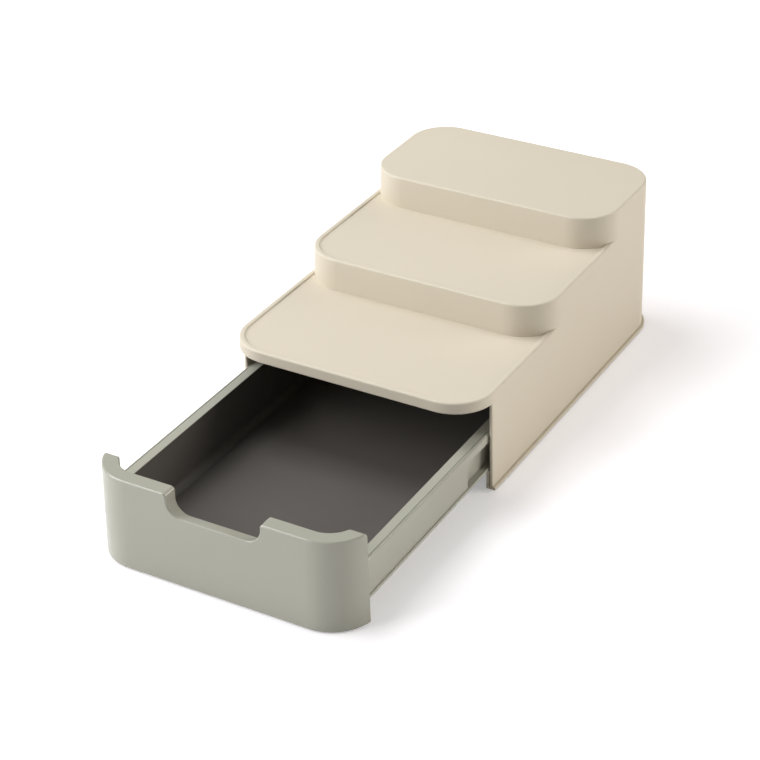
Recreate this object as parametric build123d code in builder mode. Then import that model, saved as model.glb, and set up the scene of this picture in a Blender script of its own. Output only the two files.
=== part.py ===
from build123d import *
import os
from math import hypot, radians, tan

# Tiered condiment caddy with a drawer, in millimetres. +Z is up, the drawer opens towards -Y, and the
# origin is on the floor, midway between the face of the open drawer and the back of the caddy.
os.makedirs("parts", exist_ok=True)

# Housing
body_width = 185.0  # across the shell at its lower edge
body_depth = 286.0  # from the fascia line to the back, at the shell's lower edge
corner_radius = 29.3  # plan corners at the shell's lower edge
draft = 1.1  # degrees that every outer wall leans in towards the top
lower_shelf_height = 71.8  # above the floor
tier_rise = 21.8  # from each shelf to the next
lower_shelf_depth = 95.2  # from the fascia to the first riser
middle_shelf_depth = 91.2  # from the first riser to the second
wall = 2.0
deck = 2.2
top_edge_round = 1.4
shelf_lip = 4.0  # raised edge round the two lower shelves
shelf_sink = 1.0  # depth of the shelf inside that edge
shelf_step_angle = 35.0  # degrees that its inner side leans outwards
fascia_height = 7.6  # strip left under the lower shelf, above the mouth
mouth_setback = 25.5  # the side walls start this far behind the fascia line
mouth_chamfer = 0.5

# Base frame, on which the shell stands and the drawer runs
foot_lift = 1.0  # the frame's underside above the floor
frame_plate = 1.9
frame_lip = 2.0  # plate edge that shows outside the shell
frame_chamfer = 0.5
frame_web = 1.7
frame_web_gap = 0.5  # from the shell's wall to the web inside it
ledge_reach = 7.7  # from the web's outer face inwards
ledge_thickness = 2.0
ledge_top = 14.4  # above the floor
seam_gap = 0.15  # between the shell's lower edge and the frame

# Feet
foot_length = 18.0
foot_width = 4.4
foot_corner = 1.0
foot_chamfer = 0.3
foot_pocket = 0.6  # depth that a foot sits into the frame
foot_pocket_gap = 0.1
front_foot_setback = 42.0  # from the fascia line
back_foot_setback = 46.0  # from the back, clear of the round corners

# Drawer frame
drawer_travel = 153.6
front_inset = 1.0  # the closed drawer's face behind the fascia line
mouth_gap = 1.0  # the drawer front's top below the fascia
front_foot = 1.2  # the drawer front's lower edge above the floor
front_thickness = 9.75  # across the rolled-over top of the drawer front
front_skin = 2.0
front_chamfer = 0.7
return_gap = 0.8  # the closed drawer front's ends ahead of the side walls
return_end_round = 3.0
notch_width = 64.5  # finger notch, across its mouth
notch_depth = 14.2
notch_corner = 10.0
notch_shoulder = 2.5
notch_lean = 20.0  # degrees that the notch falls towards the inside
rib_thickness = 1.6  # ribs inside the drawer front
rib_count = 6
arm_gap = 0.75  # from each arm to the side wall, at the rim
arm_depth = 5.2
arm_web = 1.2
arm_chamfer = 0.9
arm_foot = 14.8  # above the floor
band_height = 6.6  # raised strip along the top of each arm
bead_height = 1.9  # raised strip along the bottom of each arm
bead_proud = 0.4
pad_setback = 0.4  # the pads' faces behind the strip above them
pad_floor = 1.4  # under and over the pocket inside each pad
pad_length = 151.0  # from the drawer's face
back_gap = 1.6  # the closed drawer in front of the back wall

# Drawer tray
rim_top = 42.0  # above the floor
rim_thickness = 1.9
rim_width = 8.0  # from the tray's mouth to the arm's outer face
rim_strip = 1.7  # part of the arm that shows outside the rim
rim_seam = 0.4  # between the rim and that strip
seat_gap = 0.1  # between the rim and the arm under it
rim_cover_gap = 0.3  # between the rim and the drawer front's inner skin
tray_wall = 1.8
tray_floor = 2.0
tray_foot = 4.0  # the tray's underside above the floor
tray_draft = 2.0
tray_corner = 18.0
tray_floor_round = 5.0
tray_foot_chamfer = 4.0

# Guides and stops
guide_thickness = 2.0
guide_gap = 0.4  # the anti-tip ribs above the rim
guide_overhang = 6.0  # reach over the rim, in from the arm's outer face
guide_pitch = 12.0
guide_count = 3
stop_width = 14.0
stop_spread = 45.0  # half spacing of the stop tabs
stop_tab_height = 10.0
stop_overlap = 5.0  # height over which a tab meets its rib
stop_rib = 2.4
stop_gap = 0.3

match = 0.05  # how near a point must be to a wall or a level to count as on it

# Values worked out from the driving dimensions
slope = tan(radians(draft))
frame_top = foot_lift + frame_plate
shell_foot = frame_top + seam_gap
middle_shelf_height = lower_shelf_height + tier_rise
top_shelf_height = middle_shelf_height + tier_rise
mouth_top = lower_shelf_height - fascia_height
front_top = mouth_top - mouth_gap
front_flare = (shell_foot - front_foot) * slope
overall_length = body_depth + frame_lip + drawer_travel - front_inset + front_flare
drawer_face = -overall_length / 2 + front_flare
housing_front = drawer_face + drawer_travel - front_inset
housing_back = housing_front + body_depth
mouth_y = housing_front + mouth_setback
first_riser = housing_front + lower_shelf_depth
second_riser = first_riser + middle_shelf_depth
return_end = mouth_y - return_gap - drawer_travel
rim_lean = (rim_top - shell_foot) * slope
arm_outer = body_width / 2 - rim_lean - wall - arm_gap
rim_inner = arm_outer - rim_width
drawer_back = housing_back - rim_lean - wall - back_gap - drawer_travel
rim_front = drawer_face + (front_top - shell_foot) * slope + front_thickness
rim_back = drawer_back - rim_width
arm_inset = rim_width - arm_depth
seat_inset = rim_width - rim_strip
seat_top = rim_top - rim_thickness - seat_gap
cover_foot = rim_top + rim_cover_gap
pad_end = drawer_face + pad_length
web_outer = body_width / 2 - wall - frame_web_gap
lower_underside = lower_shelf_height - shelf_sink - deck
middle_underside = middle_shelf_height - shelf_sink - deck


# Plan inside the leaning outer walls at a height, from a front line to the back, drawn in from their faces
def envelope(level, front, drawn_in=0.0):
    lean = (level - shell_foot) * slope + drawn_in
    y_low = front + lean
    y_high = housing_back - lean
    with Locations((0, (y_low + y_high) / 2)):
        RectangleRounded(body_width - 2 * lean, y_high - y_low, corner_radius - lean)


# Plan of the tray's mouth, drawn out by a distance
def tray_plan(drawn_out=0.0, mode=Mode.ADD):
    length = rim_back - rim_front + 2 * drawn_out
    with Locations((0, (rim_front + rim_back) / 2)):
        RectangleRounded(2 * (rim_inner + drawn_out), length, tray_corner + drawn_out, mode=mode)


# Everything to one side of a line across the caddy: ahead of it with side -1, behind it with side 1
def half_plan(line, side, mode=Mode.ADD):
    with Locations((0, line + side * overall_length)):
        Rectangle(2 * body_width, 2 * overall_length, mode=mode)


# Housing shell: three drafted tiers, hollow from below, with an open front under the lower shelf
tiers = [
    (housing_front, lower_shelf_height, shelf_sink),
    (first_riser, middle_shelf_height, shelf_sink),
    (second_riser, top_shelf_height, 0.0),
]
tier_blocks = []
for tier_front, tier_top, sink in tiers:
    with BuildPart() as tier_block:
        with BuildSketch(Plane.XY.offset(shell_foot)):
            envelope(shell_foot, tier_front)
        extrude(amount=tier_top - shell_foot, taper=draft)
        fillet(tier_block.edges().group_by(Axis.Z)[-1], top_edge_round)
        if sink > 0:
            with BuildSketch(Plane.XY.offset(tier_top - sink)):
                envelope(tier_top, tier_front, shelf_lip)
            extrude(amount=sink, taper=-shelf_step_angle, mode=Mode.SUBTRACT)
    tier_blocks.append(tier_block.part)

with BuildPart() as housing_shell:
    add(tier_blocks)
    for tier_front, tier_top, sink in tiers:
        with BuildSketch(Plane.XY.offset(shell_foot)):
            envelope(shell_foot, tier_front, wall)
        extrude(amount=tier_top - sink - deck - shell_foot, taper=draft, mode=Mode.SUBTRACT)
    # Mouth of the drawer, below the fascia and in front of the side walls
    with BuildSketch(Plane.XY.offset(shell_foot)):
        half_plan(mouth_y, -1)
    extrude(amount=mouth_top - shell_foot, mode=Mode.SUBTRACT)
    wall_ends = housing_shell.faces().filter_by(Axis.Y).group_by(Axis.Z)[0]
    chamfer(wall_ends.edges().filter_by(lambda edge: edge.length > mouth_top / 2), mouth_chamfer)
    # Gusset ribs in both sides, whose lower ends keep the open drawer from tipping
    guide_foot = rim_top + guide_gap
    guide_inner = arm_outer - guide_overhang
    guide_outer = body_width / 2 - (lower_underside - shell_foot) * slope - wall / 2
    with BuildSketch(Plane.XY.offset(guide_foot)):
        with Locations((0, first_riser - guide_pitch * guide_count / 2)):
            with GridLocations(guide_inner + guide_outer, guide_pitch, 2, guide_count):
                Rectangle(guide_outer - guide_inner, guide_thickness)
    extrude(amount=lower_underside - guide_foot + deck / 2)
    # Ribs across the middle shelf, which the drawer's tabs meet when it is fully open
    stop_rib_back = drawer_back - rim_strip - stop_gap
    stop_rib_foot = rim_top + stop_tab_height - stop_overlap
    with BuildSketch(Plane.XY.offset(stop_rib_foot)):
        with Locations((0, stop_rib_back - stop_rib / 2)):
            with GridLocations(2 * stop_spread, 0, 2, 1):
                Rectangle(stop_width, stop_rib)
    extrude(amount=middle_underside - stop_rib_foot + deck / 2)

# Base frame: a U-shaped plate whose edge shows below the shell, with a web and a ledge for the drawer
with BuildPart() as base_frame:
    with BuildSketch(Plane.XY.offset(foot_lift)):
        envelope(shell_foot, housing_front, -frame_lip)
    extrude(amount=frame_plate)
    chamfer(base_frame.edges().group_by(Axis.Z)[-1], frame_chamfer)
    with BuildSketch(Plane.XY.offset(frame_top)):
        envelope(shell_foot, housing_front, wall + frame_web_gap)
    extrude(amount=ledge_top - frame_top)
    with BuildSketch(Plane.XY.offset(foot_lift)):
        envelope(shell_foot, housing_front, wall + frame_web_gap + frame_web)
    extrude(amount=ledge_top - foot_lift, mode=Mode.SUBTRACT)
    # Ledges along both sides, which stop short of the back corners
    ledge_length = body_depth - mouth_setback - corner_radius
    with BuildSketch(Plane.XY.offset(ledge_top - ledge_thickness)):
        with Locations((0, mouth_y + ledge_length / 2)):
            with GridLocations(2 * web_outer - ledge_reach, 0, 2, 1):
                Rectangle(ledge_reach, ledge_length)
    extrude(amount=ledge_thickness)
    # Open front, level with the ends of the side walls
    with BuildSketch(Plane.XY.offset(foot_lift)):
        half_plan(mouth_y, -1)
    extrude(amount=ledge_top - foot_lift, mode=Mode.SUBTRACT)
    # Pockets for the feet
    foot_x = (web_outer - frame_web + body_width / 2 + frame_lip) / 2
    foot_places = [
        ("foot_front_left", -foot_x, housing_front + front_foot_setback),
        ("foot_front_right", foot_x, housing_front + front_foot_setback),
        ("foot_back_left", -foot_x, housing_back - back_foot_setback),
        ("foot_back_right", foot_x, housing_back - back_foot_setback),
    ]
    with BuildSketch(Plane.XY.offset(foot_lift)) as pockets:
        with Locations([(x, y) for _, x, y in foot_places]):
            Rectangle(foot_width + 2 * foot_pocket_gap, foot_length + 2 * foot_pocket_gap)
        chamfer(pockets.vertices(), foot_corner)
    extrude(amount=foot_pocket, mode=Mode.SUBTRACT)

# Feet: thin non-slip pads
feet = []
for foot_name, x, y in foot_places:
    with BuildPart() as foot:
        with BuildSketch() as foot_plan:
            with Locations((x, y)):
                Rectangle(foot_width, foot_length)
            chamfer(foot_plan.vertices(), foot_corner)
        extrude(amount=foot_lift + foot_pocket)
        chamfer(foot.edges().group_by(Axis.Z)[0], foot_chamfer)
    feet.append((foot_name, foot))

# Outline of the finger notch, grown by a wall thickness. Its floor falls towards the inside, so the cut
# starts at the height where that slope passes through the top front edge.
notch_rise = (front_top - shell_foot) * slope * tan(radians(notch_lean))
notch_plane = Plane(
    origin=(0, drawer_face, front_top + notch_rise - notch_depth), x_dir=(1, 0, 0), z_dir=(0, -1, 0)
)
notch_run = Vector(0, 1, -tan(radians(notch_lean)))
notch_low = front_top - notch_depth - front_thickness * tan(radians(notch_lean))


def notch_outline(grown=0.0):
    with BuildSketch(notch_plane) as outline:
        with Locations((0, notch_depth - grown)):
            Rectangle(notch_width + 2 * grown, 2 * notch_depth)
        fillet(outline.vertices().group_by(Axis.Y)[0], notch_corner + grown)
    return outline.sketch


# Space inside the drawer front, open from below, which leaves a skin on every side and the inner skin
with BuildPart() as front_hollow:
    with BuildSketch(Plane.XY.offset(front_foot)):
        envelope(front_foot, drawer_face, front_skin)
    extrude(amount=front_top - front_skin - front_foot, taper=draft)
    with BuildSketch(Plane.XY.offset(cover_foot)):
        envelope(front_top, drawer_face, front_thickness - front_skin)
    extrude(amount=front_top - cover_foot, mode=Mode.SUBTRACT)
    extrude(notch_outline(front_skin), amount=2 * front_thickness, dir=notch_run, mode=Mode.SUBTRACT)
    with BuildSketch(Plane.XY.offset(front_foot)):
        half_plan(return_end - front_skin, 1)
    extrude(amount=front_top - front_foot, mode=Mode.SUBTRACT)

# Whether an edge bounds the drawer front's outer wall above, or at the ends of the returns
def on_outer_rim(edge):
    middle = edge @ 0.5
    across = max(abs(middle.X) - body_width / 2 + corner_radius, 0)
    along = max(drawer_face + corner_radius - middle.Y, 0)
    wall_radius = corner_radius - (middle.Z - shell_foot) * slope
    on_wall = abs(hypot(across, along) - wall_radius) < match
    above_foot = min((edge @ 0).Z, (edge @ 1).Z) > front_foot + match
    at_end = middle.Y > return_end - match and middle.Z > front_foot + match
    return on_wall and (above_foot or at_end)


# Drawer frame: the front wraps both corners and rolls over into a short inner skin. Its side arms and
# back rail carry the tray's rim, and run on the ledges.
with BuildPart() as drawer_frame:
    with BuildSketch(Plane.XY.offset(front_foot)):
        envelope(front_foot, drawer_face)
    extrude(amount=front_top - front_foot, taper=draft)
    with BuildSketch(Plane.XY.offset(front_foot)):
        half_plan(return_end, 1)
    extrude(amount=front_top - front_foot, mode=Mode.SUBTRACT)
    extrude(notch_outline(), amount=2 * (return_end - drawer_face), dir=notch_run, mode=Mode.SUBTRACT)
    # Rounded shoulders of the notch and ends of the returns, then a chamfer along all of the edge
    notch_tops = drawer_frame.edges().group_by(Axis.Z)[-1].filter_by(Axis.Y)
    fillet(notch_tops.filter_by(lambda edge: abs(edge.center().X) < notch_width), notch_shoulder)
    end_tops = drawer_frame.edges().group_by(Axis.Z)[-1].filter_by(Axis.X)
    fillet(end_tops.group_by(Axis.Y)[-1], return_end_round)
    chamfer(drawer_frame.edges().filter_by(on_outer_rim), front_chamfer)
    add(front_hollow.part, mode=Mode.SUBTRACT)
    # Ribs that stiffen the front
    with BuildSketch(Plane.XY.offset(arm_foot)):
        with Locations((0, rim_front - front_thickness / 2)):
            with GridLocations((body_width - 2 * corner_radius) / rib_count, 0, rib_count, 1):
                Rectangle(rib_thickness, front_thickness - front_skin)
    extrude(amount=notch_low - front_skin - arm_foot)
    # Arms and back rail
    for height, proud in ((rim_top - arm_foot, 0.0), (bead_height, bead_proud)):
        with BuildSketch(Plane.XY.offset(arm_foot)):
            tray_plan(rim_width + proud)
            half_plan(return_end - front_skin, -1, Mode.SUBTRACT)
        extrude(amount=height)
    arm_tops = drawer_frame.edges().filter_by(lambda edge: abs(edge.center().Z - rim_top) < match)
    chamfer(arm_tops.filter_by(lambda edge: edge.center().Y > return_end + match), arm_chamfer)
    # Pads, and the deep recess behind them, between the band and the bead
    for line, depth in ((return_end, pad_setback), (pad_end, arm_depth - arm_web)):
        with BuildSketch(Plane.XY.offset(arm_foot + bead_height)):
            half_plan(line, 1)
            tray_plan(rim_width - depth, Mode.SUBTRACT)
        extrude(amount=rim_top - band_height - arm_foot - bead_height, mode=Mode.SUBTRACT)
    # Pocket inside each pad, which leaves it as thin as the web behind it
    with BuildSketch(Plane.XY.offset(arm_foot + pad_floor)):
        tray_plan(rim_width - pad_setback - arm_web)
        half_plan(pad_end - arm_web, 1, Mode.SUBTRACT)
        half_plan(return_end, -1, Mode.SUBTRACT)
    extrude(amount=seat_top - pad_floor - arm_foot - pad_floor, mode=Mode.SUBTRACT)
    # Room for the tray's body, its rim, and the hand above it
    for low, high, drawn_out in ((front_foot, seat_top, arm_inset), (seat_top, cover_foot, seat_inset)):
        with BuildSketch(Plane.XY.offset(low)):
            tray_plan(drawn_out)
        extrude(amount=high - low, mode=Mode.SUBTRACT)
    with BuildSketch(Plane.XY.offset(cover_foot)):
        envelope(front_top, drawer_face, front_thickness)
    extrude(amount=front_top - cover_foot, mode=Mode.SUBTRACT)
    # Tabs on the back rail, which stop the open drawer
    with BuildSketch(Plane.XY.offset(rim_top - rim_thickness)):
        with Locations((0, drawer_back - rim_strip / 2)):
            with GridLocations(2 * stop_spread, 0, 2, 1):
                Rectangle(stop_width, rim_strip)
    extrude(amount=stop_tab_height + rim_thickness)

# Space inside the drawer tray, with rounded floor edges
tray_depth = rim_top - tray_foot
with BuildPart() as tray_hollow:
    with BuildSketch(Plane.XY.offset(tray_foot + tray_floor)):
        tray_plan((tray_floor - tray_depth) * tan(radians(tray_draft)))
    extrude(amount=tray_depth - tray_floor, taper=-tray_draft)
    fillet(tray_hollow.edges().group_by(Axis.Z)[0], tray_floor_round)

# Drawer tray: a drafted bin whose rim lies on the arms, and reaches under the drawer front's inner skin
with BuildPart() as drawer_tray:
    with BuildSketch(Plane.XY.offset(tray_foot)):
        tray_plan(tray_wall - tray_depth * tan(radians(tray_draft)))
    extrude(amount=tray_depth, taper=-tray_draft)
    chamfer(drawer_tray.edges().group_by(Axis.Z)[0], tray_foot_chamfer)
    with BuildSketch(Plane.XY.offset(rim_top - rim_thickness)):
        tray_plan(seat_inset - rim_seam)
    extrude(amount=rim_thickness)
    add(tray_hollow.part, mode=Mode.SUBTRACT)

for name, part in [
    ("housing_shell", housing_shell),
    ("base_frame", base_frame),
    ("drawer_frame", drawer_frame),
    ("drawer_tray", drawer_tray),
] + feet:
    part.part.label = name
    export_step(part.part, "parts/" + name + ".step")
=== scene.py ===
# Condiment caddy with a drawer: finishes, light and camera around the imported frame. Lengths in metres.
import math

import bpy
from mathutils import Matrix, Vector


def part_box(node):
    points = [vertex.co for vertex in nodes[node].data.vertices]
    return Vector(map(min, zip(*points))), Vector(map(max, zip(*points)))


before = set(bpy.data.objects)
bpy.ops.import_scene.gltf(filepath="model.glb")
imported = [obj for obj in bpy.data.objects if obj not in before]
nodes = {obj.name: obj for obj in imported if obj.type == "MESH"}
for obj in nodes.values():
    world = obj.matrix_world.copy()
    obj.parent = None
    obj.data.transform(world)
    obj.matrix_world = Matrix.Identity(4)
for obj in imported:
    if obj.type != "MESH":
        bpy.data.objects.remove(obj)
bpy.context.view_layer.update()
print("frame loaded with", len(nodes), "nodes")


# Small helpers for node trees and colours

def fromDisplay(red, green, blue):  # a colour as read off a screen, 0 to 255, as Blender's linear one
    def linear(value):  # the standard screen curve
        share = value / 255
        return share / 12.92 if share <= 0.04045 else ((share + 0.055) / 1.055) ** 2.4
    return (linear(red), linear(green), linear(blue), 1.0)


def addNode(tree, kind, place=(0, 0), **settings):
    node = tree.nodes.new(kind)
    node.location = place
    for name, value in settings.items():
        setattr(node, name, value)
    return node


def feed(tree, socket, value):  # give a socket a fixed value, or a link from another node's output
    if isinstance(value, (int, float, tuple)):
        socket.default_value = value
    else:
        tree.links.new(value, socket)


def addMath(tree, operation, first, second, clamp=False):
    node = addNode(tree, "ShaderNodeMath", operation=operation, use_clamp=clamp)
    feed(tree, node.inputs[0], first)
    feed(tree, node.inputs[1], second)
    return node.outputs[0]


def mixColours(tree, factor, first, second):
    node = addNode(tree, "ShaderNodeMix", data_type="RGBA")
    for index, value in ((0, factor), (6, first), (7, second)):  # the sockets of a colour mix
        feed(tree, node.inputs[index], value)
    return node.outputs[2]


def addNoise(tree, coordinates, scale, detail, roughness):
    node = addNode(tree, "ShaderNodeTexNoise")
    node.inputs["Detail"].default_value = detail
    node.inputs["Roughness"].default_value = roughness
    feed(tree, node.inputs["Scale"], scale)
    feed(tree, node.inputs["Vector"], coordinates)
    return node.outputs["Fac"]


def newGroup(name, inputs, outputs):
    tree = bpy.data.node_groups.new(name, "ShaderNodeTree")
    for label, kind in inputs:
        tree.interface.new_socket(label, in_out="INPUT", socket_type=kind)
    for label, kind in outputs:
        tree.interface.new_socket(label, in_out="OUTPUT", socket_type=kind)
    return tree, addNode(tree, "NodeGroupInput", (-900, 0)), addNode(tree, "NodeGroupOutput", (900, 0))


def placeGroup(tree, group, place, values):
    node = addNode(tree, "ShaderNodeGroup", place, node_tree=group)
    for label, value in values.items():
        feed(tree, node.inputs[label], value)
    return node


# Moulded grain: eroded tool texture, a little uneven, and slow changes of tint across a moulding
grainForm = {
    "fineDetail": (2.0, 0.6),  # detail and roughness of each noise
    "coarseDetail": (1.0, 0.5),
    "tintDetail": (3.0, 0.55),
    "patchDetail": (4.0, 0.6),
    "coarseScale": 0.28,  # of the fine grain's own scale
    "tintScale": 9.0,  # patches per metre, as the next value
    "patchScale": 46.0,
    "fineInTint": 0.35,
    "fineInHeight": 0.65,
}


def buildMouldedGrain(form):
    tree, given, result = newGroup(
        "mouldedGrain",
        [
            ("Colour", "NodeSocketColor"),
            ("Tint Change", "NodeSocketFloat"),
            ("Grain Size", "NodeSocketFloat"),
            ("Roughness", "NodeSocketFloat"),
            ("Roughness Change", "NodeSocketFloat"),
        ],
        [("Colour", "NodeSocketColor"), ("Roughness", "NodeSocketFloat"), ("Height", "NodeSocketFloat")],
    )
    where = addNode(tree, "ShaderNodeTexCoord", (-900, -300)).outputs["Object"]
    perMetre = addMath(tree, "DIVIDE", 1.0, given.outputs["Grain Size"])
    fine = addNoise(tree, where, perMetre, *form["fineDetail"])
    coarsePerMetre = addMath(tree, "MULTIPLY", perMetre, form["coarseScale"])
    coarse = addNoise(tree, where, coarsePerMetre, *form["coarseDetail"])
    slow = addNoise(tree, where, form["tintScale"], *form["tintDetail"])
    patchy = addNoise(tree, where, form["patchScale"], *form["patchDetail"])

    tint = addMath(tree, "ADD", slow, addMath(tree, "MULTIPLY", fine, form["fineInTint"]))
    around = addMath(tree, "SUBTRACT", tint, (1.0 + form["fineInTint"]) / 2)  # a noise's middle is one half
    gain = addMath(tree, "ADD", addMath(tree, "MULTIPLY", around, given.outputs["Tint Change"]), 1.0)
    scaled = addNode(tree, "ShaderNodeVectorMath", operation="SCALE")
    tree.links.new(given.outputs["Colour"], scaled.inputs[0])
    tree.links.new(gain, scaled.inputs["Scale"])
    tree.links.new(scaled.outputs[0], result.inputs["Colour"])

    swing = addMath(tree, "SUBTRACT", patchy, 0.5)
    swing = addMath(tree, "MULTIPLY", swing, given.outputs["Roughness Change"])
    swing = addMath(tree, "MULTIPLY", swing, 2.0)  # by the whole change, up and down
    tree.links.new(addMath(tree, "ADD", given.outputs["Roughness"], swing, True), result.inputs["Roughness"])
    fineHeight = addMath(tree, "MULTIPLY", fine, form["fineInHeight"])
    coarseHeight = addMath(tree, "MULTIPLY", coarse, 1.0 - form["fineInHeight"])
    tree.links.new(addMath(tree, "ADD", fineHeight, coarseHeight), result.inputs["Height"])
    return tree


# Edge wear: a mask that is 1 along sharp edges, broken up by noise
wearForm = {
    "reach": 6.0,  # higher lets gentler edges wear
    "noiseDetail": (3.0, 0.6),
    "noiseFloor": 0.3,
    "noiseGain": 2.2,
}


def buildEdgeWear(form):
    tree, given, result = newGroup(
        "edgeWear",
        [("Normal", "NodeSocketVector"), ("Amount", "NodeSocketFloat"), ("Break Up", "NodeSocketFloat")],
        [("Mask", "NodeSocketFloat")],
    )
    where = addNode(tree, "ShaderNodeTexCoord", (-900, -300)).outputs["Object"]
    facing = addNode(tree, "ShaderNodeNewGeometry", (-900, -500)).outputs["Normal"]
    turn = addNode(tree, "ShaderNodeVectorMath", operation="DOT_PRODUCT")
    tree.links.new(given.outputs["Normal"], turn.inputs[0])
    tree.links.new(facing, turn.inputs[1])
    bent = addMath(tree, "SUBTRACT", 1.0, turn.outputs["Value"])
    bent = addMath(tree, "MULTIPLY", bent, form["reach"], True)
    broken = addNoise(tree, where, given.outputs["Break Up"], *form["noiseDetail"])
    spread = addMath(tree, "SUBTRACT", broken, form["noiseFloor"], True)
    spread = addMath(tree, "MULTIPLY", spread, form["noiseGain"], True)
    mask = addMath(tree, "MULTIPLY", addMath(tree, "MULTIPLY", bent, spread), given.outputs["Amount"], True)
    tree.links.new(mask, result.inputs["Mask"])
    return tree


# Marks where the bin's darker inside colour goes, which also carries painted shade
def buildInsideColourAndShadeMask():  # 1 on the faces that look towards a point inside a bin, and lie below its rim
    tree, given, result = newGroup(
        "insideColourAndShadeMask",
        [("Middle", "NodeSocketVector"), ("Below", "NodeSocketFloat")],
        [("Mask", "NodeSocketFloat")],
    )
    where = addNode(tree, "ShaderNodeTexCoord", (-900, -300)).outputs["Object"]
    facing = addNode(tree, "ShaderNodeTexCoord", (-900, -500)).outputs["Normal"]
    inwards = addNode(tree, "ShaderNodeVectorMath", operation="SUBTRACT")
    tree.links.new(given.outputs["Middle"], inwards.inputs[0])
    tree.links.new(where, inwards.inputs[1])
    looks = addNode(tree, "ShaderNodeVectorMath", operation="DOT_PRODUCT")
    tree.links.new(inwards.outputs[0], looks.inputs[0])
    tree.links.new(facing, looks.inputs[1])
    height = addNode(tree, "ShaderNodeSeparateXYZ")
    tree.links.new(where, height.inputs[0])
    inside = addMath(tree, "GREATER_THAN", looks.outputs["Value"], 0.0)
    low = addMath(tree, "LESS_THAN", height.outputs["Z"], given.outputs["Below"])
    tree.links.new(addMath(tree, "MULTIPLY", inside, low), result.inputs["Mask"])
    return tree


mouldedGrain = buildMouldedGrain(grainForm)
edgeWear = buildEdgeWear(wearForm)
insideColourAndShadeMask = buildInsideColourAndShadeMask()
print("shared effects built")


def makePlastic(name, look):
    material = bpy.data.materials.new(name)
    material.use_nodes = True
    tree = material.node_tree
    tree.nodes.clear()
    output = addNode(tree, "ShaderNodeOutputMaterial", (900, 0))
    shader = addNode(tree, "ShaderNodeBsdfPrincipled", (600, 0))
    tree.links.new(shader.outputs[0], output.inputs["Surface"])
    shader.inputs["IOR"].default_value = look["ior"]
    shader.inputs["Specular IOR Level"].default_value = look["shine"]

    softened = addNode(tree, "ShaderNodeBevel", (-500, -400), samples=4)
    softened.inputs["Radius"].default_value = look["edgeSoftness"]
    baseColour = look["colour"]
    # The inside of a bin gets a darker colour: partly its own darker plastic, partly painted shade
    if "insideColourAndShade" in look:
        inside = placeGroup(tree, insideColourAndShadeMask, (-700, 200), {
            "Middle": look["insideMiddle"],
            "Below": look["insideBelow"],
        })
        baseColour = mixColours(tree, inside.outputs["Mask"], look["colour"], look["insideColourAndShade"])
    grain = placeGroup(tree, mouldedGrain, (-200, 100), {
        "Colour": baseColour,
        "Tint Change": look["tintChange"],
        "Grain Size": look["grainSize"],
        "Roughness": look["roughness"],
        "Roughness Change": look["roughnessChange"],
    })
    wear = placeGroup(tree, edgeWear, (-200, -300), {
        "Normal": softened.outputs[0],
        "Amount": look["wear"],
        "Break Up": look["wearBreakUp"],
    })
    colour = mixColours(tree, wear.outputs["Mask"], grain.outputs["Colour"], look["wornColour"])
    tree.links.new(colour, shader.inputs["Base Color"])
    tree.links.new(grain.outputs["Roughness"], shader.inputs["Roughness"])
    bump = addNode(tree, "ShaderNodeBump", (300, -400))
    bump.inputs["Strength"].default_value = look["grainStrength"]
    bump.inputs["Distance"].default_value = look["grainDepth"]
    tree.links.new(grain.outputs["Height"], bump.inputs["Height"])
    tree.links.new(softened.outputs[0], bump.inputs["Normal"])
    tree.links.new(bump.outputs[0], shader.inputs["Normal"])
    return material


def dress(names, material):
    for name in names:
        piece = nodes[name]
        piece.data.materials.clear()
        piece.data.materials.append(material)


# Housing: shell and the frame under it, satin warm beige
housingLook = {
    "colour": fromDisplay(220, 211, 193),
    "wornColour": fromDisplay(232, 226, 213),
    "tintChange": 0.05,
    "roughness": 0.52,
    "roughnessChange": 0.05,
    "grainSize": 0.0007,
    "grainDepth": 0.00004,
    "grainStrength": 0.35,
    "edgeSoftness": 0.0006,
    "wear": 0.25,
    "wearBreakUp": 90.0,
    "ior": 1.5,
    "shine": 0.4,
}
dress(["housing_shell", "base_frame"], makePlastic("housingPlastic", housingLook))

# Drawer front with its arms, satin sage grey
drawerLook = {
    "colour": fromDisplay(173, 173, 160),
    "wornColour": fromDisplay(204, 206, 196),
    "tintChange": 0.05,
    "roughness": 0.24,
    "roughnessChange": 0.05,
    "grainSize": 0.0006,
    "grainDepth": 0.00003,
    "grainStrength": 0.25,
    "edgeSoftness": 0.0003,
    "wear": 0.3,
    "wearBreakUp": 110.0,
    "ior": 1.5,
    "shine": 0.6,
}
dress(["drawer_frame"], makePlastic("drawerPlastic", drawerLook))

# Tray: its rim matches the drawer, and it is darker inside, partly a darker inner colour and partly painted
# shade
trayLook = dict(drawerLook)
trayLook.update({
    "roughness": 0.5,
    # darker inside colour, which also holds painted shade
    "insideColourAndShade": fromDisplay(94, 90, 86),
    "middleRise": 0.005,  # over the middle of the bin, the point that its inner faces look towards
    "rimDepth": 0.0004,  # the top of the bin keeps the rim's colour down to here
})
trayLow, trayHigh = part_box("drawer_tray")
trayLook["insideMiddle"] = tuple((trayLow + trayHigh) / 2 + Vector((0.0, 0.0, trayLook["middleRise"])))
trayLook["insideBelow"] = trayHigh.z - trayLook["rimDepth"]
dress(["drawer_tray"], makePlastic("trayPlastic", trayLook))

# Feet, soft pads
footLook = dict(housingLook)
footLook.update({
    "colour": fromDisplay(120, 118, 112),
    "wornColour": fromDisplay(140, 138, 132),
    "roughness": 0.85,
    "grainSize": 0.0004,
    "grainStrength": 0.6,
    "shine": 0.2,
})
dress([name for name in nodes if name.startswith("foot_")], makePlastic("footRubber", footLook))
print("finishes given to", len(nodes), "pieces")


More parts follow.
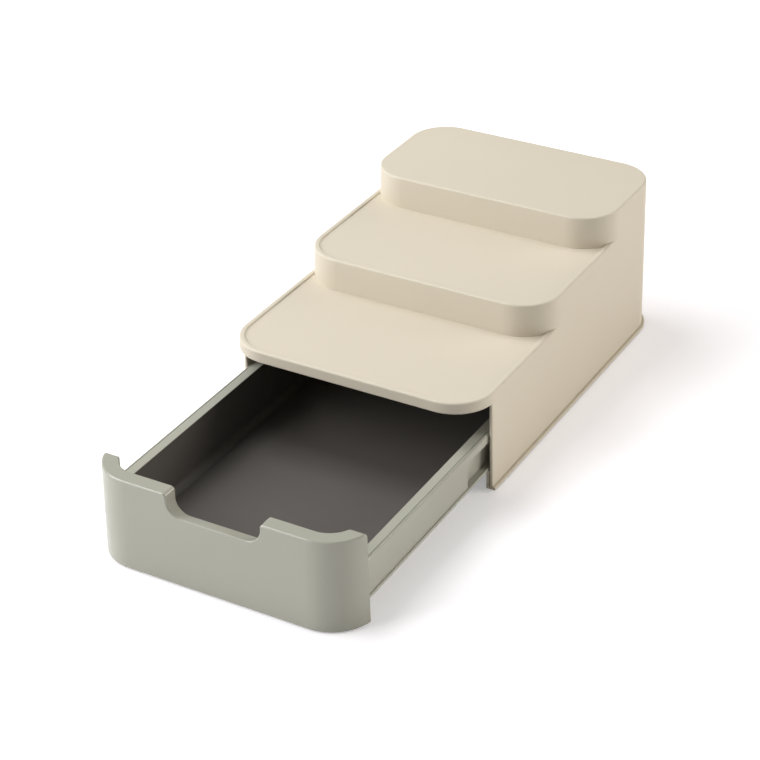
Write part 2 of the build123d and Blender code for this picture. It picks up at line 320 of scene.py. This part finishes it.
# Floor: pale and plain. The camera sees a little light added to it, so that it is white outside the shadow
floorLook = {
    "size": 12.0,
    "colour": (0.86, 0.84, 0.85, 1.0),
    "seen": (0.97, 0.95, 0.99, 1.0),  # the same floor, as the camera sees it
    "glow": 0.31,
    "glowColour": (1.0, 1.0, 1.0, 1.0),
    "fadeReach": (0.9, 1.8),  # from the middle, in which the floor turns white towards the horizon
}


def makeFloorPaint(look):
    material = bpy.data.materials.new("floorPaint")
    material.use_nodes = True
    tree = material.node_tree
    tree.nodes.clear()
    output = addNode(tree, "ShaderNodeOutputMaterial", (600, 0))
    path = addNode(tree, "ShaderNodeLightPath", (-300, -100))

    # Plain paint, lighter to the camera than for the light that it throws back
    paint = addNode(tree, "ShaderNodeBsdfDiffuse", (0, 100))
    colour = mixColours(tree, path.outputs["Is Camera Ray"], look["colour"], look["seen"])
    tree.links.new(colour, paint.inputs["Color"])

    # Glow for the camera and for reflections only, up to plain white far away
    glow = addNode(tree, "ShaderNodeEmission", (0, -100))
    glow.inputs["Color"].default_value = look["glowColour"]
    seen = addMath(tree, "MAXIMUM", path.outputs["Is Camera Ray"], path.outputs["Is Glossy Ray"])
    where = addNode(tree, "ShaderNodeTexCoord", (-900, -300)).outputs["Object"]
    away = addNode(tree, "ShaderNodeVectorMath", (-700, -300), operation="LENGTH")
    tree.links.new(where, away.inputs[0])
    fade = addNode(tree, "ShaderNodeMapRange", (-500, -300), interpolation_type="SMOOTHSTEP")
    tree.links.new(away.outputs["Value"], fade.inputs["Value"])
    fade.inputs["From Min"].default_value, fade.inputs["From Max"].default_value = look["fadeReach"]
    fade.inputs["To Min"].default_value = look["glow"]
    tree.links.new(addMath(tree, "MULTIPLY", seen, fade.outputs["Result"]), glow.inputs["Strength"])
    both = addNode(tree, "ShaderNodeAddShader", (300, 0))
    tree.links.new(paint.outputs[0], both.inputs[0])
    tree.links.new(glow.outputs[0], both.inputs[1])

    # Seen from beneath the floor is clear, so that the underside can be looked at
    beneath = addNode(tree, "ShaderNodeNewGeometry", (-300, 300)).outputs["Backfacing"]
    clear = addNode(tree, "ShaderNodeBsdfTransparent", (300, 200))
    surface = addNode(tree, "ShaderNodeMixShader", (450, 0))
    tree.links.new(addMath(tree, "MULTIPLY", beneath, path.outputs["Is Camera Ray"]), surface.inputs[0])
    tree.links.new(both.outputs[0], surface.inputs[1])
    tree.links.new(clear.outputs[0], surface.inputs[2])
    tree.links.new(surface.outputs[0], output.inputs["Surface"])
    return material


def buildFloor(look):
    half = look["size"] / 2
    mesh = bpy.data.meshes.new("floor")
    corners = [(-half, -half, 0.0), (half, -half, 0.0), (half, half, 0.0), (-half, half, 0.0)]
    mesh.from_pydata(corners, [], [(0, 1, 2, 3)])
    floor = bpy.data.objects.new("floor", mesh)
    bpy.context.scene.collection.objects.link(floor)
    mesh.materials.append(makeFloorPaint(look))


buildFloor(floorLook)

# Sky: a weak even light, white where the camera sees it
skyLook = {
    "colour": (1.0, 0.99, 0.98, 1.0),
    "strength": 0.15,
    "backdrop": (1.0, 1.0, 1.0, 1.0),
}


def buildSky(look):
    world = bpy.data.worlds.new("studioSky")
    bpy.context.scene.world = world
    world.use_nodes = True
    tree = world.node_tree
    tree.nodes.clear()
    output = addNode(tree, "ShaderNodeOutputWorld", (600, 0))
    light = addNode(tree, "ShaderNodeBackground", (0, 100))
    light.inputs["Color"].default_value = look["colour"]
    light.inputs["Strength"].default_value = look["strength"]
    white = addNode(tree, "ShaderNodeBackground", (0, -100))
    white.inputs["Color"].default_value = look["backdrop"]
    path = addNode(tree, "ShaderNodeLightPath", (-300, 300))
    seen = addMath(tree, "MAXIMUM", path.outputs["Is Camera Ray"], path.outputs["Is Transmission Ray"])
    mixer = addNode(tree, "ShaderNodeMixShader", (300, 0))
    tree.links.new(seen, mixer.inputs[0])
    tree.links.new(light.outputs[0], mixer.inputs[1])
    tree.links.new(white.outputs[0], mixer.inputs[2])
    tree.links.new(mixer.outputs[0], output.inputs["Surface"])


buildSky(skyLook)

# Soft boxes round the caddy, square and all aimed at one point: azimuth 0 is in front, 90 on its right
lampAim = Vector((0.0, 0.0, 0.05))
lampLooks = {
    "frontLow": {"azimuth": -48.0, "elevation": 28.0, "distance": 2.0, "size": 1.3, "watts": 27.5},
    "leftMid": {"azimuth": -75.0, "elevation": 42.0, "distance": 2.0, "size": 1.2, "watts": 8.5},
    "rightLow": {
        "azimuth": 120.0, "elevation": 16.0, "distance": 3.5, "size": 1.7, "watts": 62.0,
        "colour": (1.0, 0.955, 0.87),  # warm, where the others are white
    },
    "topLeft": {"azimuth": -100.0, "elevation": 66.0, "distance": 2.0, "size": 0.9, "watts": 15.0},
    "topBack": {"azimuth": 170.0, "elevation": 62.0, "distance": 2.0, "size": 1.1, "watts": 2.5},
}


def buildLamp(name, look):
    light = bpy.data.lights.new(name, "AREA")
    light.shape = "SQUARE"
    light.size = look["size"]
    light.energy = look["watts"]
    light.color = look.get("colour", (1.0, 1.0, 1.0))
    lamp = bpy.data.objects.new(name, light)
    bpy.context.scene.collection.objects.link(lamp)
    turn = math.radians(look["azimuth"])
    rise = math.radians(look["elevation"])
    away = Vector((math.sin(turn) * math.cos(rise), -math.cos(turn) * math.cos(rise), math.sin(rise)))
    lamp.location = lampAim + away * look["distance"]
    lamp.rotation_euler = away.to_track_quat("Z", "Y").to_euler()


for lampName, lampLook in lampLooks.items():
    buildLamp(lampName, lampLook)
print("floor, sky and", len(lampLooks), "soft boxes placed")

# Camera at the photograph's viewing point
cameraLook = {
    "place": Vector((0.5848, -1.04066, 0.7528)),
    "right": Vector((0.87474, 0.48449, -0.00982)),
    "up": Vector((-0.24196, 0.45425, 0.85739)),
    "lens": 100.08,  # millimetres, as the next value
    "filmWidth": 36.0,
    "shift": (-0.0226, -0.0047),
    "clip": (0.02, 30.0),
}


def buildCamera(look):
    data = bpy.data.cameras.new("photoCamera")
    data.lens = look["lens"]
    data.sensor_width = look["filmWidth"]
    data.shift_x, data.shift_y = look["shift"]
    data.clip_start, data.clip_end = look["clip"]
    camera = bpy.data.objects.new("photoCamera", data)
    bpy.context.scene.collection.objects.link(camera)
    right = look["right"].normalized()
    back = right.cross(look["up"]).normalized()
    up = back.cross(right)
    turn = Matrix((right, up, back)).transposed()
    camera.matrix_world = Matrix.Translation(look["place"]) @ turn.to_4x4()
    bpy.context.scene.camera = camera


buildCamera(cameraLook)
bpy.context.scene.view_settings.view_transform = "Standard"
print("camera set")
